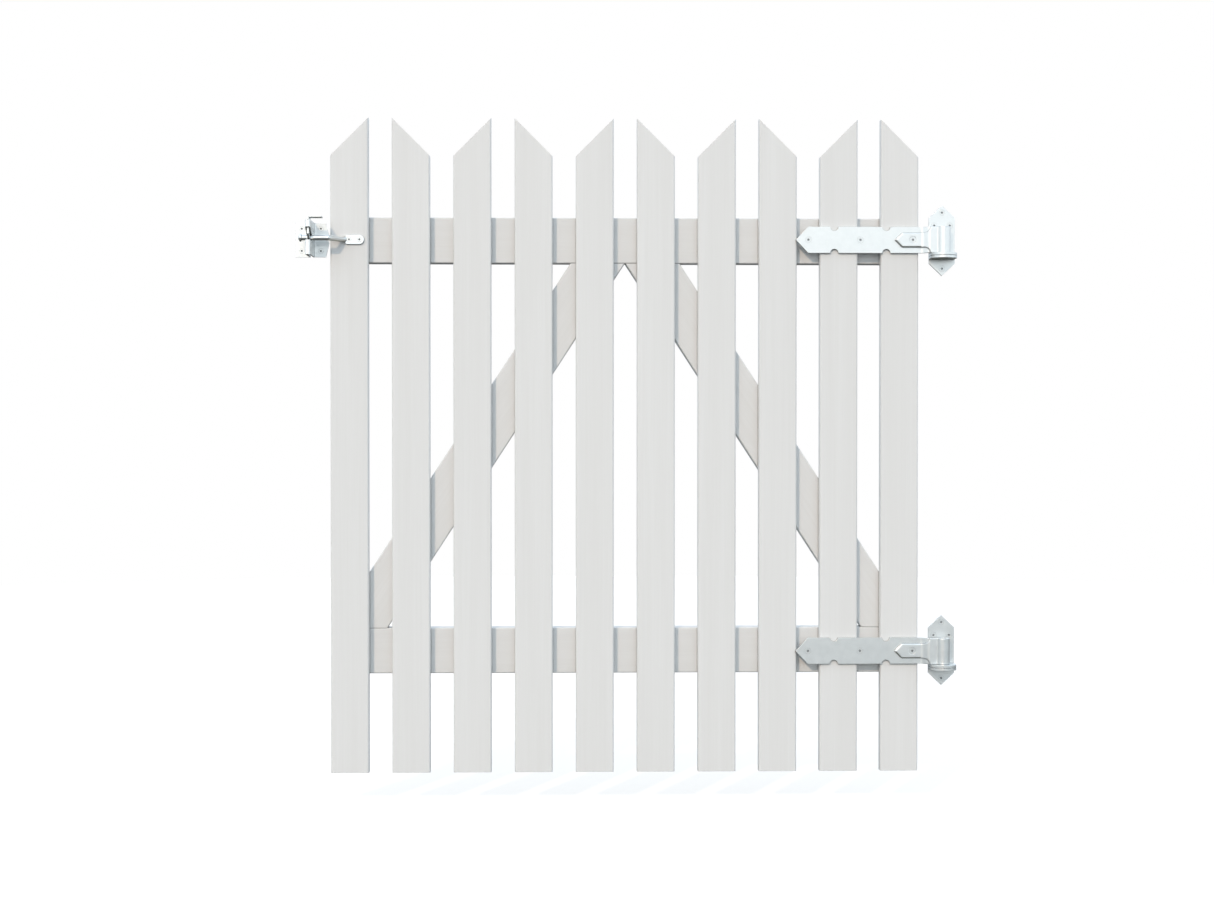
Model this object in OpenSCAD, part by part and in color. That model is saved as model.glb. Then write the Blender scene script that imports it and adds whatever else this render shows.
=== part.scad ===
// Picket garden gate with its hinges and its gravity latch.
//
// Frame: X runs along the gate from the latch post to the hinge post, Y runs
// away from the side that the gate opens to, and Z runs up. The origin is the
// middle of the overall footprint, at the bottom ends of the pickets.
// Modules are drawn from the leaf's latch-side edge and the pickets' front
// plane, and gate_frame() moves them into that frame.

/* [Leaf] */
// Width of the leaf over its outer pickets
leaf_w = 900; // [860:1:1100]
// Height of the leaf to the picket points
leaf_h = 1000; // [920:1:1200]
// Width of one picket
picket_w = 58; // [50:1:64]
// Thickness of one picket
picket_t = 18; // [16:1:22]
// Radius of the pickets' long edges
picket_edge_r = 3; // [1:0.5:5]
// Angle of the slanted picket tops from the horizontal
top_angle = 45; // [30:1:50]

/* [Rails and braces] */
// Height of a rail or the width of a brace
rail_w = 70; // [60:1:80]
// Thickness of the rails and braces
rail_t = 28; // [24:1:34]
// Radius of the rails' and braces' long edges
rail_edge_r = 2; // [1:0.5:4]
// Height of the lower rail's underside
lower_rail_z = 150; // [120:1:200]
// Height of the upper rail's underside
upper_rail_z = 780; // [720:1:800]
// Distance from the leaf's edge to the lower edge of a brace's foot
brace_foot_x = 85; // [70:1:120]

/* [Hinges] */
// Width of the hinge straps and of the post plates
strap_w = 40; // [36:1:46]
// Thickness of the straps and post plates
strap_t = 4; // [3:0.5:5]
// Length of a strap from the leaf's edge to its point
strap_reach = 189; // [180:1:200]
// Distance of the hinge pin beyond the leaf's edge
pin_offset = 37; // [34:1:44]
// Diameter of the hinge pin
pin_d = 12; // [10:0.5:14]
// Height of a post plate between its points
plate_h = 108; // [100:1:130]

/* [Latch] */
// Diameter of the striker bar
bar_d = 8; // [7:0.5:9]
// Distance of the striker bar in front of the pickets
bar_stand_off = 30; // [28:1:34]
// Height of the latch bracket
bracket_h = 52; // [50:1:60]
// Outer width of the bracket's channel
channel_w = 8; // [7.5:0.5:9]

/* [Hidden] */
picket_count = 10;
$fn = 48;

paint = [0.89, 0.89, 0.88];
zinc = [0.75, 0.79, 0.79];
screw_zinc = [0.68, 0.71, 0.72];

picket_pitch = (leaf_w - picket_w) / (picket_count - 1);
leaf_back = picket_t + rail_t;
rail_inset = 2;                 // the rails end just inside the outer pickets
overcut = 1;                    // how far cutters run past what they cut
fit_gap = 0.05;                 // space around screws and other still fits
running_gap = 0.05;             // radial clearance of the turning fits
part_gap = 0.3;                 // space between pieces that move past each other

// Braces
brace_rise = upper_rail_z - lower_rail_z - rail_w;
apex_gap = 0.5;                 // half the gap where the two braces meet
brace_run = leaf_w / 2 - apex_gap - brace_foot_x;
brace_angle = atan2(brace_rise, brace_run);
brace_length = norm([brace_run, brace_rise]);

// Wood screws: [head radius, shank radius, length, how deep the thick neck ends]
frame_screw = [4.2, 2.1, 42, 8];
brace_screw = [4.2, 2.1, 40, 8];
strap_screw = [5, 2.5, 46, 8];
plate_screw = [4.6, 2.4, 39, 4.1];
bracket_screw = [4, 2, 36, 2.2];
striker_screw = [3.9, 1.9, 30, 5];
neck_step = 0.3;                // how much thicker the neck is than the shank
screw_rim = 0.4;                // straight rim of a countersunk head
screw_point = 5;                // length of the pointed end
recess_depth = 1.6;
recess_lobes = 6;
recess_size = 0.42;             // radius of the recess as a share of the head's
recess_waist = 0.72;            // how far the recess narrows between its lobes
rail_screw_dx = 14;             // screws sit either side of the picket's middle
rail_screw_dz = 17;
brace_screw_spread = 15;        // the same along a brace

// Hinges
hinge_heights = [lower_rail_z + rail_w / 2, upper_rail_z + rail_w / 2];
pin_x = leaf_w + pin_offset;
pin_r = pin_d / 2;
eye_r = pin_r + strap_t;
joggle = 7;                     // how far the strap steps forward to its eye
pin_y = -strap_t - joggle;
joggle_start = leaf_w + 3;
joggle_end = leaf_w + 16;
joggle_steps = 8;
strap_tip_x = leaf_w - strap_reach;
strap_point = 19;               // length of the pointed end
strap_screw_pitch = 80;
strap_screw_x = leaf_w - 10;    // the screw nearest the eye
notch_r = 6.3;                  // half-round notches in the strap's edges
tongue_w = 22;                  // the end of the sheet, folded back over the strap
tongue_tip_x = leaf_w - 37;
tongue_point = 11;
tongue_chamfer = 1.2;
shoulder_r = (strap_w - tongue_w) / 2;
eye_fillet = 3;
fillet_bite = 0.1;

// Post plates
plate_front = 5;
plate_back = plate_front + strap_t;
plate_point = 19;
plate_end_screw_dz = 43;
plate_pair_screw_dz = 23;
plate_pair_screw_dx = 12;
ledge_t = 8;                    // two thicknesses of sheet
ledge_r = strap_w / 2;
ledge_top = -strap_w / 2 - part_gap;
seam_depth = 0.7;
seam_h = 0.8;
rivet_head_r = 8;
rivet_head_h = 2;
pin_chamfer = 1;
pin_drop = 1;                   // how far the pin's top is below the eye's top

// Latch
latch_z = upper_rail_z + 34;    // height of the striker bar
bar_r = bar_d / 2;
bar_y = -bar_stand_off;
striker_plate_x = 23.5;
striker_plate_l = 28;
striker_plate_h = 14;
striker_plate_t = 3;
striker_corner_r = 2;           // round corners of the plate's end at the bar
striker_lap = 2;                // how far the bar runs into its plate
striker_screw_x = 5.3;
striker_screw_pitch = 16;
striker_root = [striker_plate_x - 3.5, -bar_r];
elbow = [0, bar_y];
elbow_r = bar_r + 0.2;          // the bend swells a little
bar_head_r = 6;
bar_head_l = 5;
bar_tip_x = -44.8;
bar_length = -bar_tip_x;        // straight length in front of the leaf
bar_head_dome_r = 8;

sheet = 2;                      // the bracket's sheet metal
channel_x = -28.3;
bracket_left = -53;
bracket_right = -2;
bracket_low = latch_z - 26.5;
bracket_top = bracket_low + bracket_h;
bracket_taper_x = 5;            // slope of the flange's end next to the leaf
bracket_taper_low = 20.5;
bracket_taper_high = 20;
web_front = bar_y - 20;
bend_r = 2.5;
bracket_screw_x = -29.3;
bracket_screw_dx = 14.5;
bracket_screw_dz = 17;
seat_gap = 0.6;                 // space around the bar in its seat
mouth_h = 15;                   // height of the funnel's upper lip above the bar
bracket_screw_z = latch_z;

pivot_y = -10;
pivot_z = latch_z + 14;
rivet_r = 2.5;
rivet_cap_r = 4;
rivet_cap_h = 0.6;
pawl_t = 3;
pawl_boss_r = 6.5;
nose_back = bar_y - bar_r - 1.2;
nose_front = web_front + sheet + 2;
nose_low = latch_z - 3.6;
nose_tip_y = nose_back - 3;
nose_slant_top = latch_z + 5;   // the nose's front edge is upright above here
arm_low = latch_z + bar_r + 1.2;
arm_top = latch_z + 17;
pawl_rest_z = bracket_top + 0.4; // the pawl's shoulder stops on the channel's front here
shoulder_h = 3;
tab_t = 1.8;
tab_z = bracket_top + 4.6;
tab_front = -43;
tab_back = -23;
tab_right = -8.6;

// Middle of the overall box, which is the origin's place
centre_x = (bracket_left + pin_x + strap_w / 2) / 2;
centre_y = (web_front + leaf_back) / 2;

// ---------------------------------------------------------------- helpers

module gate_frame() {
    translate([-centre_x, -centre_y, 0])
        children();
}

// A flat outline in X and Z, drawn out from y0 to y1
module along_y(y0, y1) {
    translate([0, y1, 0])
        rotate([90, 0, 0])
            linear_extrude(y1 - y0)
                children();
}

// A flat outline in Y and Z, drawn out from x0 to x1
module along_x(x0, x1) {
    translate([x0, 0, 0])
        rotate([90, 0, 90])
            linear_extrude(x1 - x0)
                children();
}

// A rectangle with round corners, from its lower left corner
module rounded_rectangle(w, h, r) {
    translate([r, 0])
        square([w - 2 * r, h]);
    translate([0, r])
        square([w, h - 2 * r]);
    for (x = [r, w - r], y = [r, h - r])
        translate([x, y])
            circle(r);
}

// The six-lobed recess of a screw head
module recess_outline(size) {
    polygon([for (i = [0 : 2 * recess_lobes - 1])
        let (r = size * (i % 2 == 0 ? 1 : recess_waist), a = i * 180 / recess_lobes)
        [r * cos(a), r * sin(a)]]);
}

// A screw's outline in radius and depth, grown by gap on every side
module screw_profile(screw, gap, head_extra) {
    head_r = screw[0] + gap;
    shank_r = screw[1] + gap;
    neck_r = shank_r + neck_step;
    polygon([[0, -head_extra],
             [head_r, -head_extra],
             [head_r, screw_rim],
             [neck_r, screw_rim + head_r - neck_r],
             [neck_r, screw[3]],
             [shank_r, screw[3] + neck_step],
             [shank_r, screw[2] - screw_point],
             [0, screw[2] + gap]]);
}

// A countersunk screw that points along +Z, with its head's face at z = 0
module screw_body(screw) {
    difference() {
        rotate_extrude()
            screw_profile(screw, 0, 0);
        translate([0, 0, -overcut])
            linear_extrude(recess_depth + overcut)
                recess_outline(screw[0] * recess_size);
    }
}

// The hole that the screw fills
module screw_hole(screw) {
    rotate_extrude()
        screw_profile(screw, fit_gap, overcut);
}

// Turns something that points along +Z to point along +Y
module into_front(x, y, z) {
    translate([x, y, z])
        rotate([-90, 0, 0])
            children();
}

// Turns something that points along +Z to point along -Y
module into_back(x, y, z) {
    translate([x, y, z])
        rotate([90, 0, 0])
            children();
}

// ---------------------------------------------------------------- places

function picket_middle(i) = picket_w / 2 + i * picket_pitch;

// Where a rail's screws go at picket i: two, set diagonally
function rail_screw_spots(i, rail_z) =
    [for (s = [-1, 1])
        [picket_middle(i) + s * rail_screw_dx, rail_z + rail_w / 2 + s * rail_screw_dz]];

// Height of the left brace's middle line at x
function brace_height(x) =
    lower_rail_z + rail_w + (x - brace_foot_x + rail_w / 2 / sin(brace_angle)) * tan(brace_angle);

// The left brace crosses these pickets, counted from the leaf's left edge
braced_pickets = [1, 2, 3];

// Where the left brace's screws go: two at each picket, along the brace
brace_screw_spots =
    [for (i = braced_pickets, s = [-1, 1])
        let (x = picket_middle(i) + s * brace_screw_spread * cos(brace_angle))
        [x, brace_height(x)]];

function mirrored(spots) = [for (p = spots) [leaf_w - p[0], p[1]]];

// ---------------------------------------------------------------- leaf

module picket(i) {
    left = i * picket_pitch;
    // Odd and even pickets slope opposite ways, so that they point in pairs
    point_x = i % 2 == 0 ? picket_w : 0;
    low_x = picket_w - point_x;
    slope = tan(top_angle) * overcut;
    away = point_x > low_x ? 1 : -1;
    color(paint)
        difference() {
            translate([left, 0, 0])
                linear_extrude(leaf_h)
                    rounded_rectangle(picket_w, picket_t, picket_edge_r);
            translate([left, 0, 0])
                along_y(-overcut, picket_t + overcut)
                    polygon([[low_x - away * overcut, leaf_h - picket_w * tan(top_angle) - slope],
                             [point_x + away * overcut, leaf_h + slope],
                             [low_x - away * overcut, leaf_h + slope]]);
            for (rail_z = [lower_rail_z, upper_rail_z], spot = rail_screw_spots(i, rail_z))
                into_back(spot[0], leaf_back, spot[1])
                    screw_hole(frame_screw);
            for (spot = concat(brace_screw_spots, mirrored(brace_screw_spots)))
                if (abs(spot[0] - picket_middle(i)) < picket_w / 2)
                    into_back(spot[0], leaf_back, spot[1])
                        screw_hole(brace_screw);
            // The strap screw nearest the eye passes through the last picket
            if (i == picket_count - 1)
                for (z = hinge_heights)
                    into_front(strap_screw_x, -2 * strap_t, z)
                        screw_hole(strap_screw);
            if (i == 0)
                striker_screws_at()
                    screw_hole(striker_screw);
        }
}

module rail(rail_z) {
    color(paint)
        difference() {
            along_x(rail_inset, leaf_w - rail_inset)
                translate([picket_t, rail_z])
                    rounded_rectangle(rail_t, rail_w, rail_edge_r);
            for (i = [0 : picket_count - 1], spot = rail_screw_spots(i, rail_z))
                into_back(spot[0], leaf_back, spot[1])
                    screw_hole(frame_screw);
            strap_screws_at(rail_z + rail_w / 2)
                screw_hole(strap_screw);
            if (rail_z == upper_rail_z)
                striker_screws_at()
                    screw_hole(striker_screw);
        }
}

module left_brace_shape() {
    difference() {
        intersection() {
            translate([brace_foot_x, picket_t, lower_rail_z + rail_w])
                rotate([0, 90 - brace_angle, 0])
                    translate([-rail_w, 0, -rail_w])
                        linear_extrude(brace_length + 2 * rail_w)
                            rounded_rectangle(rail_w, rail_t, rail_edge_r);
            translate([0, 0, lower_rail_z + rail_w])
                cube([leaf_w, leaf_back + overcut, brace_rise]);
        }
        for (spot = brace_screw_spots)
            into_back(spot[0], leaf_back, spot[1])
                screw_hole(brace_screw);
    }
}

module left_brace() {
    color(paint)
        left_brace_shape();
}

module right_brace() {
    color(paint)
        translate([leaf_w, 0, 0])
            mirror([1, 0, 0])
                left_brace_shape();
}

module rail_screws(rail_z) {
    color(screw_zinc)
        for (i = [0 : picket_count - 1], spot = rail_screw_spots(i, rail_z))
            into_back(spot[0], leaf_back, spot[1])
                screw_body(frame_screw);
}

module brace_screws() {
    color(screw_zinc)
        for (spot = concat(brace_screw_spots, mirrored(brace_screw_spots)))
            into_back(spot[0], leaf_back, spot[1])
                screw_body(brace_screw);
}

// ---------------------------------------------------------------- hinges

// One side of a sheet in plan: flat at y, then a smooth step forward
function joggle_line(x0, y) = concat(
    [[x0, y]],
    [for (k = [0 : joggle_steps])
        [joggle_start + (joggle_end - joggle_start) * k / joggle_steps,
         y - joggle * (1 - cos(180 * k / joggle_steps)) / 2]],
    [[pin_x, y - joggle]]);

function backwards(points) = [for (k = [len(points) - 1 : -1 : 0]) points[k]];

// A layer of sheet in plan, from x0 to the pin, with its front face at y
module sheet_plan(x0, y) {
    polygon(concat(joggle_line(x0, y), backwards(joggle_line(x0, y + strap_t))));
}

module strap_outline() {
    difference() {
        polygon([[strap_tip_x, 0],
                 [strap_tip_x + strap_point, -strap_w / 2],
                 [pin_x, -strap_w / 2],
                 [pin_x, strap_w / 2],
                 [strap_tip_x + strap_point, strap_w / 2]]);
        for (k = [1, 3], side = [-1, 1])
            translate([strap_screw_x - k * strap_screw_pitch / 2, side * strap_w / 2])
                circle(notch_r);
    }
}

module tongue_outline() {
    polygon([[tongue_tip_x, 0],
             [tongue_tip_x + tongue_point, -tongue_w / 2],
             [joggle_end, -tongue_w / 2],
             [joggle_end, tongue_w / 2],
             [tongue_tip_x + tongue_point, tongue_w / 2]]);
    // Concave shoulders widen the tongue to the eye's full height
    difference() {
        translate([joggle_end - shoulder_r, -strap_w / 2])
            square([pin_x - joggle_end + shoulder_r, strap_w]);
        for (side = [-1, 1])
            translate([joggle_end - shoulder_r, side * strap_w / 2])
                circle(shoulder_r);
    }
}

// Cuts a chamfer along a front edge of the tongue, from p to q in X and Z
module edge_chamfer(p, q) {
    run = q - p;
    translate([p[0], -2 * strap_t, p[1]])
        rotate([0, -atan2(run[1], run[0]), 0])
            along_x(-overcut, norm(run))
                polygon([[-overcut, -tongue_chamfer - overcut],
                         [tongue_chamfer + overcut, overcut],
                         [-overcut, overcut]]);
}

// The tongue's flat length is chamfered all round
module tongue_chamfers() {
    shoulder = [tongue_tip_x + tongue_point, tongue_w / 2];
    for (side = [0, 1])
        mirror([0, 0, side]) {
            edge_chamfer([tongue_tip_x, 0], shoulder);
            edge_chamfer(shoulder, [joggle_start, tongue_w / 2]);
        }
}

// Fillet between a layer's outer face and the eye, in plan about the pin. It
// bites a little into both, because surfaces that only touch don't join well
module eye_fillet_plan() {
    rise = strap_t + eye_fillet - fillet_bite;
    reach = sqrt(pow(eye_r + eye_fillet - fillet_bite, 2) - pow(rise, 2));
    centre = [-reach, -rise];
    difference() {
        polygon([[-reach, -strap_t / 2], centre, centre / 2, [-strap_t, -strap_t / 2]]);
        translate(centre)
            circle(eye_fillet);
    }
}

module eye_plan() {
    circle(eye_r);
    eye_fillet_plan();
    mirror([0, 1])
        eye_fillet_plan();
}

// Strap screws: the two far ones sit on the strap, the near one on the tongue
module strap_screws_at(z) {
    for (k = [0 : 2])
        into_front(strap_screw_x - k * strap_screw_pitch, k == 0 ? -2 * strap_t : -strap_t, z)
            children();
}

module hinge_strap(z) {
    color(zinc)
        difference() {
            union() {
                intersection() {
                    translate([0, 0, z - strap_w / 2])
                        linear_extrude(strap_w)
                            sheet_plan(strap_tip_x, -strap_t);
                    translate([0, 0, z])
                        along_y(pin_y - eye_r, overcut)
                            strap_outline();
                }
                intersection() {
                    translate([0, 0, z - strap_w / 2])
                        linear_extrude(strap_w)
                            sheet_plan(tongue_tip_x, -2 * strap_t);
                    translate([0, 0, z])
                        along_y(pin_y - eye_r, overcut)
                            tongue_outline();
                }
                translate([pin_x, pin_y, z - strap_w / 2])
                    linear_extrude(strap_w)
                        eye_plan();
            }
            translate([pin_x, pin_y, z - strap_w])
                cylinder(h = 2 * strap_w, r = pin_r + running_gap);
            translate([0, 0, z])
                tongue_chamfers();
            strap_screws_at(z)
                screw_hole(strap_screw);
        }
}

module strap_screws(z) {
    color(screw_zinc)
        strap_screws_at(z)
            screw_body(strap_screw);
}

// ---------------------------------------------------------------- post plates

module plate_outline() {
    side_h = plate_h / 2 - plate_point;
    polygon([[0, -plate_h / 2],
             [strap_w / 2, -side_h],
             [strap_w / 2, side_h],
             [0, plate_h / 2],
             [-strap_w / 2, side_h],
             [-strap_w / 2, -side_h]]);
}

module ledge_plan(inset) {
    circle(ledge_r - inset);
    translate([-ledge_r + inset, 0])
        square([2 * (ledge_r - inset), plate_front - pin_y + overcut]);
}

module plate_screws_at(z) {
    for (side = [-1, 1])
        into_front(pin_x, plate_front, z + side * plate_end_screw_dz)
            children();
    for (side = [-1, 1])
        into_front(pin_x + side * plate_pair_screw_dx, plate_front, z + plate_pair_screw_dz)
            children();
}

module post_plate(z) {
    color(zinc)
        difference() {
            union() {
                translate([pin_x, 0, z])
                    along_y(plate_front, plate_back)
                        plate_outline();
                translate([pin_x, pin_y, z + ledge_top - ledge_t])
                    linear_extrude(ledge_t)
                        ledge_plan(0);
            }
            // The seam between the ledge's two layers
            translate([pin_x, pin_y, z + ledge_top - (ledge_t + seam_h) / 2])
                linear_extrude(seam_h)
                    difference() {
                        translate([-ledge_r - overcut, -ledge_r - overcut])
                            square([2 * (ledge_r + overcut), plate_front - pin_y + ledge_r + overcut]);
                        ledge_plan(seam_depth);
                    }
            translate([pin_x, pin_y, z + ledge_top - ledge_t - overcut])
                cylinder(h = ledge_t + 2 * overcut, r = pin_r);
            plate_screws_at(z)
                screw_hole(plate_screw);
        }
}

module hinge_pin(z) {
    low = z + ledge_top - ledge_t;
    top = z + strap_w / 2 - pin_drop;
    dome_r = (pow(rivet_head_r, 2) + pow(rivet_head_h, 2)) / (2 * rivet_head_h);
    color(screw_zinc)
        translate([pin_x, pin_y, 0]) {
            translate([0, 0, low])
                cylinder(h = top - low - pin_chamfer, r = pin_r);
            translate([0, 0, top - pin_chamfer])
                cylinder(h = pin_chamfer, r1 = pin_r, r2 = pin_r - pin_chamfer);
            // The riveted end under the ledge
            intersection() {
                translate([0, 0, low - rivet_head_h + dome_r])
                    sphere(dome_r);
                translate([0, 0, low - rivet_head_h])
                    cylinder(h = rivet_head_h, r = rivet_head_r + overcut);
            }
        }
}

module plate_screws(z) {
    color(screw_zinc)
        plate_screws_at(z)
            screw_body(plate_screw);
}

// ---------------------------------------------------------------- latch

module striker_screws_at() {
    for (k = [0, 1])
        into_front(striker_plate_x + striker_screw_x + k * striker_screw_pitch,
                   -striker_plate_t, latch_z)
            children();
}

// The bar's straight end with its domed head, as one turned shape
module bar_end_profile() {
    dome_drop = bar_head_dome_r - sqrt(pow(bar_head_dome_r, 2) - pow(bar_head_r, 2));
    intersection() {
        union() {
            square([bar_head_r, bar_head_l]);
            square([bar_r, bar_length]);
        }
        union() {
            intersection() {
                translate([0, bar_head_dome_r])
                    circle(bar_head_dome_r);
                square([bar_head_dome_r, dome_drop]);
            }
            translate([0, dome_drop])
                square([bar_head_r, 2 * bar_length]);
        }
    }
}

// Round at one end, with two small round corners at the bar's end
module striker_plate_outline() {
    flat_l = striker_plate_l - striker_plate_h / 2;
    translate([flat_l, striker_plate_h / 2])
        circle(striker_plate_h / 2);
    translate([striker_corner_r, 0])
        square([flat_l - striker_corner_r, striker_plate_h]);
    translate([0, striker_corner_r])
        square([flat_l, striker_plate_h - 2 * striker_corner_r]);
    for (y = [striker_corner_r, striker_plate_h - striker_corner_r])
        translate([striker_corner_r, y])
            circle(striker_corner_r);
}

// The striker: a round bar, bent forward of the leaf, with a plate at its root
module striker_bar() {
    run = striker_root - elbow;
    turn = atan2(run[1], run[0]);
    big = 4 * bar_length;
    color(zinc)
        difference() {
            union() {
                translate([striker_plate_x, 0, latch_z - striker_plate_h / 2])
                    along_y(-striker_plate_t, 0)
                        striker_plate_outline();
                // The slanted length, cut flush with the plate's back
                difference() {
                    translate([elbow[0], elbow[1], latch_z])
                        rotate([0, 90, turn])
                            cylinder(h = norm(run) + 2 * bar_d, r = bar_r);
                    translate([-big / 2, 0, latch_z - big / 2])
                        cube(big);
                    translate([striker_plate_x + striker_lap, -big / 2, latch_z - big / 2])
                        cube(big);
                }
                translate([elbow[0], elbow[1], latch_z])
                    rotate([90, 0, 90])
                        sphere(elbow_r);
                translate([bar_tip_x, bar_y, latch_z])
                    rotate([0, 90, 0])
                        rotate_extrude()
                            bar_end_profile();
            }
            striker_screws_at()
                screw_hole(striker_screw);
        }
}

module striker_screws() {
    color(screw_zinc)
        striker_screws_at()
            screw_body(striker_screw);
}

// Front part of the channel in plan, open at the back, with its front at y = 0
module channel_plan(w, depth, r) {
    translate([-w / 2, r])
        square([w, depth - r]);
    translate([-w / 2 + r, 0])
        square([w - 2 * r, r + overcut]);
    for (side = [-1, 1])
        translate([side * (w / 2 - r), r])
            circle(r);
}

// The bracket in plan: one sheet folded into a channel with two flanges
module hat_plan() {
    difference() {
        union() {
            translate([channel_x, web_front])
                channel_plan(channel_w, plate_back - web_front, bend_r);
            translate([bracket_left, plate_back - sheet])
                square([bracket_right - bracket_left, sheet]);
            for (side = [-1, 1])
                translate([channel_x + side * (channel_w / 2 + bend_r / 2),
                           plate_back - sheet - bend_r / 2])
                    difference() {
                        square(bend_r, center = true);
                        translate([side * bend_r / 2, -bend_r / 2])
                            circle(bend_r);
                    }
        }
        translate([channel_x, web_front + sheet])
            channel_plan(channel_w - 2 * sheet, plate_back - web_front, bend_r - sheet);
    }
}

module bracket_outline() {
    polygon([[bracket_left, bracket_low],
             [bracket_right - bracket_taper_x, bracket_low],
             [bracket_right, bracket_low + bracket_taper_low],
             [bracket_right, bracket_top - bracket_taper_high],
             [bracket_right - bracket_taper_x, bracket_top],
             [bracket_left, bracket_top]]);
}

// The funnel that guides the bar into its seat, in Y and Z
module throat_outline() {
    seat_r = bar_r + seat_gap;
    lip_rise = mouth_h - seat_r;
    mouth_y = web_front - overcut;
    mouth_top = latch_z + seat_r + lip_rise * (bar_y - mouth_y) / (bar_y - web_front);
    translate([bar_y, latch_z])
        circle(seat_r);
    polygon([[bar_y, latch_z - seat_r],
             [bar_y, latch_z + seat_r],
             [mouth_y, mouth_top],
             [mouth_y, latch_z - seat_r]]);
}

module bracket_screws_at() {
    for (sx = [-1, 1], sz = [-1, 1])
        into_front(bracket_screw_x + sx * bracket_screw_dx, plate_back - sheet,
                   bracket_screw_z + sz * bracket_screw_dz)
            children();
}

module latch_bracket() {
    color(zinc)
        difference() {
            intersection() {
                translate([0, 0, bracket_low])
                    linear_extrude(bracket_h)
                        hat_plan();
                along_y(web_front - overcut, plate_back + overcut)
                    bracket_outline();
            }
            along_x(channel_x - channel_w, channel_x + channel_w)
                throat_outline();
            along_x(channel_x - channel_w, channel_x + channel_w)
                translate([pivot_y, pivot_z])
                    circle(rivet_r);
            bracket_screws_at()
                screw_hole(bracket_screw);
        }
}

module bracket_screws() {
    color(screw_zinc)
        bracket_screws_at()
            screw_body(bracket_screw);
}

module pawl_outline() {
    difference() {
        union() {
            translate([pivot_y, pivot_z])
                circle(pawl_boss_r);
            // The arm over the bar, the nose in front of it, the shoulder and the upright
            polygon([[pivot_y, arm_low],
                     [nose_back, arm_low],
                     [nose_back, nose_low],
                     [nose_tip_y, nose_low],
                     [nose_front, nose_slant_top],
                     [nose_front, pawl_rest_z],
                     [web_front, pawl_rest_z],
                     [web_front, pawl_rest_z + shoulder_h],
                     [tab_front, tab_z],
                     [tab_front, tab_z + tab_t],
                     [tab_back, tab_z + tab_t],
                     [tab_back, arm_top],
                     [pivot_y, pivot_z + pawl_boss_r]]);
        }
        translate([pivot_y, pivot_z])
            circle(rivet_r + running_gap);
    }
}

module latch_pawl() {
    color(zinc) {
        along_x(channel_x - pawl_t / 2, channel_x + pawl_t / 2)
            pawl_outline();
        // The thumb tab, bent over the bracket's wall
        translate([channel_x, tab_front, tab_z])
            cube([tab_right - channel_x, tab_back - tab_front, tab_t]);
    }
}

module pawl_rivet() {
    half = channel_w / 2;
    color(screw_zinc)
        translate([channel_x, pivot_y, pivot_z])
            rotate([0, 90, 0]) {
                translate([0, 0, -half - rivet_cap_h])
                    cylinder(h = channel_w + 2 * rivet_cap_h, r = rivet_r);
                for (side = [0, 1])
                    mirror([0, 0, side])
                        translate([0, 0, half])
                            cylinder(h = rivet_cap_h, r1 = rivet_cap_r, r2 = rivet_cap_r - rivet_cap_h);
            }
}

// ---------------------------------------------------------------- nodes

for (i = [0 : picket_count - 1])
    gate_frame() picket(i);
gate_frame() rail(upper_rail_z);  // upper_rail
gate_frame() rail(lower_rail_z);  // lower_rail
gate_frame() left_brace();
gate_frame() right_brace();
gate_frame() rail_screws(upper_rail_z);  // upper_rail_screws
gate_frame() rail_screws(lower_rail_z);  // lower_rail_screws
gate_frame() brace_screws();
gate_frame() hinge_strap(hinge_heights[0]);  // lower_hinge_strap
gate_frame() hinge_strap(hinge_heights[1]);  // upper_hinge_strap
gate_frame() strap_screws(hinge_heights[0]);  // lower_strap_screws
gate_frame() strap_screws(hinge_heights[1]);  // upper_strap_screws
gate_frame() post_plate(hinge_heights[0]);  // lower_post_plate
gate_frame() post_plate(hinge_heights[1]);  // upper_post_plate
gate_frame() hinge_pin(hinge_heights[0]);  // lower_hinge_pin
gate_frame() hinge_pin(hinge_heights[1]);  // upper_hinge_pin
gate_frame() plate_screws(hinge_heights[0]);  // lower_plate_screws
gate_frame() plate_screws(hinge_heights[1]);  // upper_plate_screws
gate_frame() striker_bar();
gate_frame() striker_screws();
gate_frame() latch_bracket();
gate_frame() bracket_screws();
gate_frame() latch_pawl();
gate_frame() pawl_rivet();
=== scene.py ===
"""Looks for the picket garden gate: materials, screw threads, floor, light and camera."""

import math

import bmesh
import bpy
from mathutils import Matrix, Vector


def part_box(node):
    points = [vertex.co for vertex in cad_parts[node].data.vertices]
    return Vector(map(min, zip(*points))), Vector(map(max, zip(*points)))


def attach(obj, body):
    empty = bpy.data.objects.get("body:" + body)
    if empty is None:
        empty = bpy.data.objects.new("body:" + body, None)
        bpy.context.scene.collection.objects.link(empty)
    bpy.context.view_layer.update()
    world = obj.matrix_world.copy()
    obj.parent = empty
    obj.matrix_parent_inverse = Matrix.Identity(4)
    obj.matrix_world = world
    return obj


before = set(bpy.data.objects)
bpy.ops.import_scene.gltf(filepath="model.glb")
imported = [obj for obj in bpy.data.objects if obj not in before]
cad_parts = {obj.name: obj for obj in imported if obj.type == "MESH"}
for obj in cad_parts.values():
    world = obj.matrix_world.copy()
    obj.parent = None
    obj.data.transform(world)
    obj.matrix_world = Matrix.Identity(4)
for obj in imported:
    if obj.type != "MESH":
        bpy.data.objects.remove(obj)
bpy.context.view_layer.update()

MM = 0.001

# ------------------------------------------------------------------ places

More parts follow.
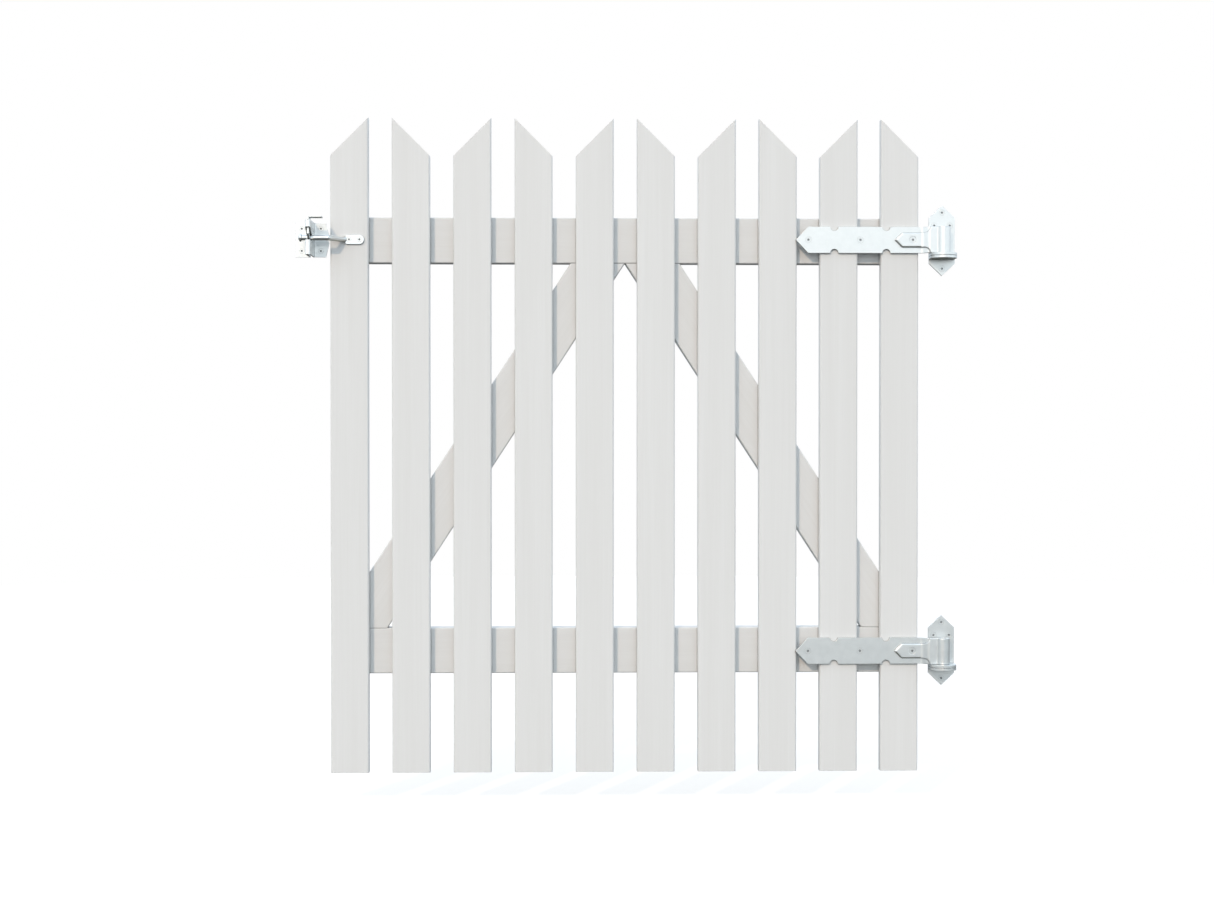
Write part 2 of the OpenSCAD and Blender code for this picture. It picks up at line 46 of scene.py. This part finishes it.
LEAF_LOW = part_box("picket_1")[0]
LEAF_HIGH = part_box("picket_10")[1]
LEAF_LEFT = LEAF_LOW.x
LEAF_WIDTH = LEAF_HIGH.x - LEAF_LEFT
PICKET_FRONT = LEAF_LOW.y
POST_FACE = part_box("latch_bracket")[1].y
PICKETS = [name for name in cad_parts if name.startswith("picket_")]
PICKETS.sort(key=lambda name: int(name.split("_")[1]))
BOARDS = PICKETS + ["upper_rail", "lower_rail", "left_brace", "right_brace"]


# ------------------------------------------------------------------ node helpers


def add_node(tree, kind, inputs=None, **settings):
    """A shader node with its settings, and its inputs set to values or joined to sockets."""
    node = tree.nodes.new(kind)
    for key, value in settings.items():
        setattr(node, key, value)
    for key, value in (inputs or {}).items():
        if isinstance(value, bpy.types.NodeSocket):
            tree.links.new(value, node.inputs[key])
        else:
            node.inputs[key].default_value = value
    return node


def new_material(name):
    """An empty node material with its output and one principled shader."""
    material = bpy.data.materials.new(name)
    material.use_nodes = True
    tree = material.node_tree
    tree.nodes.clear()
    output = add_node(tree, "ShaderNodeOutputMaterial")
    shader = add_node(tree, "ShaderNodeBsdfPrincipled")
    tree.links.new(shader.outputs[0], output.inputs["Surface"])
    return material, tree, shader


def stretched_coordinates(tree, scale, shift, turn=(0.0, 0.0, 0.0)):
    """Object coordinates, turned and then stretched, so that a noise runs along one direction."""
    place = add_node(tree, "ShaderNodeTexCoord").outputs["Object"]
    turned = add_node(tree, "ShaderNodeMapping", {"Vector": place, "Rotation": turn})
    return add_node(
        tree,
        "ShaderNodeMapping",
        {"Vector": turned.outputs[0], "Scale": scale, "Location": shift},
    ).outputs[0]


def seeded_shift(seed, stride):
    """Where a piece's share of a noise begins, so that no two pieces look alike."""
    return tuple(seed * part for part in stride)


def noise(tree, vector, scale, detail, roughness=0.5, distortion=0.0):
    """A cloudy pattern of values between 0 and 1."""
    return add_node(
        tree,
        "ShaderNodeTexNoise",
        {
            "Vector": vector,
            "Scale": scale,
            "Detail": detail,
            "Roughness": roughness,
            "Distortion": distortion,
        },
    ).outputs["Fac"]


def remap(tree, value, source, target=(0.0, 1.0)):
    """A value of the source range, carried over to the target range and held inside it."""
    return add_node(
        tree,
        "ShaderNodeMapRange",
        {
            "Value": value,
            "From Min": source[0],
            "From Max": source[1],
            "To Min": target[0],
            "To Max": target[1],
        },
    ).outputs[0]


def smooth_step(tree, value, source):
    """0 below the source range, 1 above it and a smooth rise between them."""
    return add_node(
        tree,
        "ShaderNodeMapRange",
        {"Value": value, "From Min": source[0], "From Max": source[1]},
        interpolation_type="SMOOTHSTEP",
    ).outputs[0]


def arithmetic(tree, operation, a, b):
    """The sum, product or other result of two values."""
    return add_node(tree, "ShaderNodeMath", {0: a, 1: b}, operation=operation).outputs[0]


def blend_colours(tree, factor, a, b):
    """Colour a where the factor is 0, and colour b where it is 1."""
    node = add_node(tree, "ShaderNodeMix", data_type="RGBA")
    tree.links.new(factor, node.inputs["Factor"])
    for socket, value in ((node.inputs["A"], a), (node.inputs["B"], b)):
        if isinstance(value, bpy.types.NodeSocket):
            tree.links.new(value, socket)
        else:
            socket.default_value = (*value, 1.0)
    return node.outputs["Result"]


def round_edges(tree, radius):
    """Shades sharp edges as if they were rounded."""
    return add_node(tree, "ShaderNodeBevel", {"Radius": radius}, samples=6).outputs[0]


def bump(tree, height, distance, strength, under):
    """Fine relief on top of the shading that is under it."""
    inputs = {"Height": height, "Distance": distance, "Strength": strength, "Normal": under}
    return add_node(tree, "ShaderNodeBump", inputs).outputs[0]


# ------------------------------------------------------------------ shade in the materials

# How open a place is to its surroundings: the painted seam shade is full below the first value and
# gone above the second
OPENNESS = (0.35, 0.8)
# Height of a face's normal: a face gets full painted shade below the first value and none above the
# second
FACING_DOWN = (-0.85, -0.35)


def painted_seam_shade(tree, reach, colour, dark):
    """Paints shade into a colour in seams, gaps and recesses whose walls are nearer than reach."""
    closed = add_node(tree, "ShaderNodeAmbientOcclusion", {"Distance": reach}, samples=8)
    return blend_colours(tree, remap(tree, closed.outputs["AO"], OPENNESS), dark, colour)


def shade_below(tree, colour, dark):
    """Darkens faces that look down, as if they mirrored dark ground."""
    normal = add_node(tree, "ShaderNodeNewGeometry").outputs["Normal"]
    height = add_node(tree, "ShaderNodeSeparateXYZ", {"Vector": normal}).outputs["Z"]
    return blend_colours(tree, smooth_step(tree, height, FACING_DOWN), dark, colour)


# ------------------------------------------------------------------ painted boards

PAINT = (0.725, 0.725, 0.72)
PAINT_THIN = (0.695, 0.693, 0.685)
# Painted shade in seams, gaps and next to the fittings
PAINT_SEAM_SHADE = (0.30, 0.29, 0.28)
# Painted shade on faces that look down, standing in for a dark ground mirrored in them
PAINT_SHADED_BELOW = (0.48, 0.47, 0.455)
# How far from a seam's walls its painted shade reaches
PAINT_SEAM_SHADE_REACH = 3.0 * MM
PAINT_EDGE_R = 0.8 * MM
PAINT_SPECULAR = 0.4
# Roughness in the hollows and on the crests of the grain
PAINT_ROUGHNESS = (0.49, 0.38)
# Changes in a metre across the grain, on X and Y, and along it, on Z
FIBRE_SCALE = (260.0, 260.0, 5.0)
STREAK_SCALE = (38.0, 38.0, 1.1)
FIBRE_RANGE = (0.3, 0.7)
GRAIN_RANGE = (0.12, 0.42)
FIBRE_RELIEF = 0.25 * MM
STREAK_RELIEF = 0.6 * MM
BOARD_STRIDE = (1.37, 0.61, 2.11)
BRACE_WIDTH = 70 * MM


def painted_wood(name, turn, seed):
    """Satin white paint over planed softwood. turn brings the grain's direction onto Z."""
    material, tree, shader = new_material(name)
    shift = seeded_shift(seed, BOARD_STRIDE)
    fine = stretched_coordinates(tree, FIBRE_SCALE, shift, turn)
    broad = stretched_coordinates(tree, STREAK_SCALE, shift, turn)
    fibres = noise(tree, fine, 1.0, detail=4.0, roughness=0.6, distortion=0.3)
    streaks = noise(tree, broad, 1.0, detail=2.0, distortion=0.6)
    tone = remap(tree, arithmetic(tree, "MULTIPLY", fibres, streaks), GRAIN_RANGE)
    # Painted shade on faces that look down, over the grain
    shaded_below = shade_below(tree, blend_colours(tree, tone, PAINT_THIN, PAINT), PAINT_SHADED_BELOW)
    # Painted shade in seams and gaps, over the grain and the shade below
    colour = painted_seam_shade(tree, PAINT_SEAM_SHADE_REACH, shaded_below, PAINT_SEAM_SHADE)
    tree.links.new(colour, shader.inputs["Base Color"])
    rough = remap(tree, fibres, FIBRE_RANGE, PAINT_ROUGHNESS)
    tree.links.new(rough, shader.inputs["Roughness"])
    # Brush marks and raised grain, then the slow unevenness of a planed board
    edges = round_edges(tree, PAINT_EDGE_R)
    raised = bump(tree, fibres, FIBRE_RELIEF, strength=0.35, under=edges)
    uneven = bump(tree, streaks, STREAK_RELIEF, strength=0.3, under=raised)
    tree.links.new(uneven, shader.inputs["Normal"])
    shader.inputs["Specular IOR Level"].default_value = PAINT_SPECULAR
    return material


def grain_turn(node):
    """The turn that brings a board's grain onto Z: pickets stand, rails lie and braces lean."""
    if node in PICKETS:
        return (0.0, 0.0, 0.0)
    if node.endswith("rail"):
        return (0.0, math.radians(90), 0.0)
    low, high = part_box(node)
    lean = math.atan2(high.x - low.x - BRACE_WIDTH, high.z - low.z)
    return (0.0, -lean if node == "left_brace" else lean, 0.0)


# ------------------------------------------------------------------ zinc-plated fittings

ZINC = (0.78, 0.80, 0.80)
ZINC_DULL = (0.735, 0.755, 0.755)
SCREW_ZINC = (0.72, 0.735, 0.735)
# Painted shade on zinc faces that look down, standing in for a dark ground mirrored in them
ZINC_SHADED_BELOW = (0.34, 0.34, 0.30)
# Painted shade in the zinc's seams, gaps and screw recesses, and how far from their walls it
# reaches
ZINC_SEAM_SHADE = (0.10, 0.105, 0.11)
ZINC_SEAM_SHADE_REACH = 2.5 * MM
SHEET_ROUGHNESS = 0.4
BAR_ROUGHNESS = 0.3
SHEET_EDGE_R = 0.5 * MM
STRAP_EDGE_R = 2 * MM
# An edge's round changes between these depths. A strap's eye and folded end lie forward of them
RAISED_DEPTH = (PICKET_FRONT - 6.2 * MM, PICKET_FRONT - 5.8 * MM)
CLOUD_SCALE = 90.0
SPECKLE_SCALE = 900.0
# Changes of the rolling marks in a metre along X, Y and Z
ROLLED_SCALE = (14.0, 300.0, 300.0)
CLOUD_RANGE = (0.3, 0.7)
WEAR_RANGE = (0.5, 1.0)
MARKS_IN_WEAR = 0.5
ZINC_RELIEF = 0.03 * MM
METAL_STRIDE = (0.77, 1.9, 0.31)


def zinc_plate(name, bright, roughness, seed, raised_edge_r=SHEET_EDGE_R):
    """Zinc-plated steel: a satin metal with faint clouds and rolling marks.

    raised_edge_r is the round of the edges that stand forward of the flat plates.
    """
    material, tree, shader = new_material(name)
    shift = seeded_shift(seed, METAL_STRIDE)
    even = stretched_coordinates(tree, (1.0, 1.0, 1.0), shift)
    rolled = stretched_coordinates(tree, ROLLED_SCALE, shift)
    clouds = noise(tree, even, CLOUD_SCALE, detail=4.0, roughness=0.6)
    speckle = noise(tree, even, SPECKLE_SCALE, detail=2.0)
    marks = noise(tree, rolled, 1.0, detail=2.0)
    tone = remap(tree, clouds, CLOUD_RANGE)
    # Painted shade on faces that look down, then in seams, gaps and screw recesses
    shaded_below = shade_below(tree, blend_colours(tree, tone, ZINC_DULL, bright), ZINC_SHADED_BELOW)
    colour = painted_seam_shade(tree, ZINC_SEAM_SHADE_REACH, shaded_below, ZINC_SEAM_SHADE)
    tree.links.new(colour, shader.inputs["Base Color"])
    worn = arithmetic(tree, "ADD", clouds, arithmetic(tree, "MULTIPLY", marks, MARKS_IN_WEAR))
    rough = remap(tree, worn, WEAR_RANGE, (roughness - 0.02, roughness + 0.03))
    tree.links.new(rough, shader.inputs["Roughness"])
    place = add_node(tree, "ShaderNodeTexCoord").outputs["Object"]
    depth = add_node(tree, "ShaderNodeSeparateXYZ", {"Vector": place}).outputs["Y"]
    edges = round_edges(tree, remap(tree, depth, RAISED_DEPTH, (raised_edge_r, SHEET_EDGE_R)))
    fine = bump(tree, speckle, ZINC_RELIEF, strength=0.4, under=edges)
    brushed = bump(tree, marks, ZINC_RELIEF, strength=0.25, under=fine)
    tree.links.new(brushed, shader.inputs["Normal"])
    shader.inputs["Metallic"].default_value = 1.0
    return material


# ------------------------------------------------------------------ materials on the CAD nodes


def dress(node, material):
    """Gives a CAD node its material."""
    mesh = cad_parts[node].data
    mesh.materials.clear()
    mesh.materials.append(material)


def dress_boards():
    """Paints every board, each with its own grain."""
    for seed, node in enumerate(BOARDS, start=1):
        dress(node, painted_wood("paint_" + node, grain_turn(node), seed))


def dress_metal():
    """Gives every fitting its zinc, and returns the screws' material."""
    plate = zinc_plate("zinc_plate", ZINC, SHEET_ROUGHNESS, seed=1)
    strap = zinc_plate("zinc_hinge", ZINC, SHEET_ROUGHNESS, seed=4, raised_edge_r=STRAP_EDGE_R)
    screws = zinc_plate("zinc_screws", SCREW_ZINC, SHEET_ROUGHNESS, seed=2)
    bar = zinc_plate("zinc_bar", ZINC, BAR_ROUGHNESS, seed=3)
    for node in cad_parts:
        if node in BOARDS:
            continue
        if node.endswith(("screws", "pin", "rivet")):
            dress(node, screws)
        elif node.endswith("strap"):
            dress(node, strap)
        elif node == "striker_bar":
            dress(node, bar)
        else:
            dress(node, plate)
    return screws


# ------------------------------------------------------------------ screw threads

# Where a post plate's screws stand from its middle: two at its ends and a pair above the middle
PLATE_END_SCREW_DZ = 43 * MM
PLATE_PAIR_SCREW_DX = 12 * MM
PLATE_PAIR_SCREW_DZ = 23 * MM
PLATE_SHANK_R = 2.4 * MM
BRACKET_SHANK_R = 2.0 * MM
BRACKET_HEAD_R = 4 * MM
THREAD_PITCH = 1.9 * MM
THREAD_DEPTH = 0.75 * MM
THREAD_START = 7 * MM
THREAD_STOP = 4.6 * MM
STEPS_PER_TURN = 24
# The ridge's foot and crest on either side of its middle, as shares of the pitch
THREAD_FOOT = 0.32
THREAD_CREST = 0.06
# How deep the foot is sunk in the shank, as a share of the thread's depth
THREAD_SUNK = 0.3
# How many turns the thread takes to rise at its start and to fade at its stop
TURNS_TO_RISE = 1
TURNS_TO_FADE = 2


def thread_mesh(name, shank_r, start, stop):
    """A screw thread along Y: a ridge that winds round a shank and fades out at both ends."""
    steps = int((stop - start) / THREAD_PITCH * STEPS_PER_TURN)
    shape = bmesh.new()
    rows = []
    for step in range(steps + 1):
        angle = 2 * math.pi * step / STEPS_PER_TURN
        middle = start + (stop - start) * step / steps
        rise = step / (TURNS_TO_RISE * STEPS_PER_TURN)
        fade = (steps - step) / (TURNS_TO_FADE * STEPS_PER_TURN)
        crest = min(1.0, rise, fade)
        ridge = (
            (-THREAD_FOOT, -THREAD_SUNK),
            (-THREAD_CREST, crest),
            (THREAD_CREST, crest),
            (THREAD_FOOT, -THREAD_SUNK),
        )
        row = []
        for along, out in ridge:
            radius = shank_r + THREAD_DEPTH * out
            depth = middle + THREAD_PITCH * along
            row.append(shape.verts.new((radius * math.cos(angle), depth, radius * math.sin(angle))))
        rows.append(row)
    for one, two in zip(rows, rows[1:]):
        for here in range(len(one)):
            after = (here + 1) % len(one)
            shape.faces.new((one[here], one[after], two[after], two[here]))
    shape.faces.new(rows[0])
    shape.faces.new(reversed(rows[-1]))
    bmesh.ops.recalc_face_normals(shape, faces=shape.faces)
    mesh = bpy.data.meshes.new(name)
    shape.to_mesh(mesh)
    shape.free()
    return mesh


def post_screw_places():
    """The group, place and shank radius of each of the twelve screws that go into the posts."""
    offsets = (
        (0, -PLATE_END_SCREW_DZ),
        (0, PLATE_END_SCREW_DZ),
        (-PLATE_PAIR_SCREW_DX, PLATE_PAIR_SCREW_DZ),
        (PLATE_PAIR_SCREW_DX, PLATE_PAIR_SCREW_DZ),
    )
    places = []
    for level in ("upper", "lower"):
        low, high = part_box(level + "_post_plate")
        x = (low.x + high.x) / 2
        z = (low.z + high.z) / 2
        for dx, dz in offsets:
            places.append((level + "_plate", x + dx, z + dz, PLATE_SHANK_R))
    low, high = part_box("bracket_screws")
    for x in (low.x + BRACKET_HEAD_R, high.x - BRACKET_HEAD_R):
        for z in (low.z + BRACKET_HEAD_R, high.z - BRACKET_HEAD_R):
            places.append(("bracket", x, z, BRACKET_SHANK_R))
    return places


def make_threads(material):
    """Threads on the screws that go into the posts, whose solids have plain shanks."""
    for index, (group, x, z, shank_r) in enumerate(post_screw_places(), start=1):
        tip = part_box(group + "_screws")[1].y
        label = "%s_thread_%d" % (group, index)
        mesh = thread_mesh(label, shank_r, POST_FACE + THREAD_START, tip - THREAD_STOP)
        thread = bpy.data.objects.new(label, mesh)
        thread.location = (x, 0, z)
        mesh.materials.append(material)
        for face in mesh.polygons:
            face.use_smooth = True
        bpy.context.collection.objects.link(thread)
        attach(thread, "post_fittings")


# ------------------------------------------------------------------ floor

FLOOR_RADIUS = 5.0
FLOOR_PALE = (0.40, 0.38, 0.36)
FLOOR_GLOW = 0.62
FLOOR_BOUNCE = (0.16, 0.155, 0.145)
GROUND_CLEARANCE = 0.05


def floor_material():
    """Pale and softly lit to the camera, and darker in the light that it throws back."""
    material = bpy.data.materials.new("floor_pale")
    material.use_nodes = True
    tree = material.node_tree
    tree.nodes.clear()
    output = add_node(tree, "ShaderNodeOutputMaterial")
    bounce = add_node(tree, "ShaderNodeBsdfDiffuse", {"Color": (*FLOOR_BOUNCE, 1.0)})
    pale = add_node(tree, "ShaderNodeBsdfDiffuse", {"Color": (*FLOOR_PALE, 1.0)})
    glow = add_node(tree, "ShaderNodeEmission", {"Strength": FLOOR_GLOW})
    bright = add_node(tree, "ShaderNodeAddShader", {0: pale.outputs[0], 1: glow.outputs[0]})
    show_to_camera(tree, bright, bounce, output)
    return material


def show_to_camera(tree, seen, unseen, output):
    """Shows one shader to the camera, and uses the other one for all other light."""
    camera_ray = add_node(tree, "ShaderNodeLightPath").outputs["Is Camera Ray"]
    shaders = {0: camera_ray, 1: unseen.outputs[0], 2: seen.outputs[0]}
    mixed = add_node(tree, "ShaderNodeMixShader", shaders)
    tree.links.new(mixed.outputs[0], output.inputs["Surface"])


def make_floor():
    """A plain pale floor, a little below the gate, as it hangs clear of the ground."""
    mesh = bpy.data.meshes.new("floor")
    shape = bmesh.new()
    bmesh.ops.create_circle(shape, cap_ends=True, segments=128, radius=FLOOR_RADIUS)
    shape.to_mesh(mesh)
    shape.free()
    floor = bpy.data.objects.new("floor", mesh)
    floor.location.z = -GROUND_CLEARANCE
    bpy.context.collection.objects.link(floor)
    mesh.materials.append(floor_material())


# ------------------------------------------------------------------ light

GROUND = (0.12, 0.11, 0.10)
HORIZON_FRONT = (1.78, 1.90, 1.94)
HORIZON_BACK = (0.84, 0.92, 1.0)
SKY = (0.99, 1.155, 1.31)
# Where each zone gives way to the next, along Y and Z of a direction of length 1
FRONT_TO_BACK = (-0.5, 0.8)
GROUND_TO_HORIZON = (-0.03, 0.01)
HORIZON_TO_SKY = (0.18, 0.34)
KEY_DIRECTION = (0.42, 1.0, -0.58)
KEY_POWER = 1.24
KEY_COLOUR = (1.0, 0.77, 0.57)
KEY_SPREAD = 1.0


def make_world():
    """Cool light, brightest just over the horizon in front. The camera sees plain white."""
    world = bpy.data.worlds.new("studio")
    bpy.context.scene.world = world
    world.use_nodes = True
    tree = world.node_tree
    tree.nodes.clear()
    output = add_node(tree, "ShaderNodeOutputWorld")
    direction = add_node(tree, "ShaderNodeTexCoord").outputs["Generated"]
    axes = add_node(tree, "ShaderNodeSeparateXYZ", {"Vector": direction})
    behind = smooth_step(tree, axes.outputs["Y"], FRONT_TO_BACK)
    horizon = blend_colours(tree, behind, HORIZON_FRONT, HORIZON_BACK)
    aloft = smooth_step(tree, axes.outputs["Z"], HORIZON_TO_SKY)
    sky = blend_colours(tree, aloft, horizon, SKY)
    above = smooth_step(tree, axes.outputs["Z"], GROUND_TO_HORIZON)
    colour = blend_colours(tree, above, GROUND, sky)
    light = add_node(tree, "ShaderNodeBackground", {"Color": colour})
    white = add_node(tree, "ShaderNodeBackground", {"Color": (1.0, 1.0, 1.0, 1.0)})
    show_to_camera(tree, white, light, output)


def make_key_light():
    """The key light, from the upper left in front of the gate."""
    data = bpy.data.lights.new("key", "SUN")
    data.energy = KEY_POWER
    data.color = KEY_COLOUR
    data.angle = math.radians(KEY_SPREAD)
    lamp = bpy.data.objects.new("key", data)
    lamp.rotation_mode = "QUATERNION"
    lamp.rotation_quaternion = Vector(KEY_DIRECTION).to_track_quat("-Z", "Y")
    bpy.context.collection.objects.link(lamp)


# ------------------------------------------------------------------ camera

CAMERA_SENSOR = 36.0
CAMERA_LENS = 61.28
CAMERA_NEAREST = 0.05
CAMERA_FARTHEST = 200.0
# Share of the leaf's width, from its left edge
CAMERA_ACROSS = 0.3749
CAMERA_DISTANCE = 3.161
CAMERA_HEIGHT = 0.5226
# Radians
CAMERA_TURN_RIGHT = 0.0267
CAMERA_TILT_DOWN = 0.0119


def make_camera():
    """The camera stands in front of the pickets, a little left of the middle."""
    data = bpy.data.cameras.new("camera")
    data.sensor_fit = "HORIZONTAL"
    data.sensor_width = CAMERA_SENSOR
    data.lens = CAMERA_LENS
    data.clip_start = CAMERA_NEAREST
    data.clip_end = CAMERA_FARTHEST
    camera = bpy.data.objects.new("camera", data)
    camera.location = (
        LEAF_LEFT + CAMERA_ACROSS * LEAF_WIDTH,
        PICKET_FRONT - CAMERA_DISTANCE,
        CAMERA_HEIGHT,
    )
    camera.rotation_euler = (math.radians(90) - CAMERA_TILT_DOWN, 0.0, -CAMERA_TURN_RIGHT)
    bpy.context.collection.objects.link(camera)
    bpy.context.scene.camera = camera


def main():
    """Dresses the gate, then sets up the studio round it."""
    dress_boards()
    screw_metal = dress_metal()
    make_threads(screw_metal)
    make_floor()
    make_world()
    make_key_light()
    make_camera()
    view = bpy.context.scene.view_settings
    view.view_transform = "Standard"
    view.look = "None"


main()
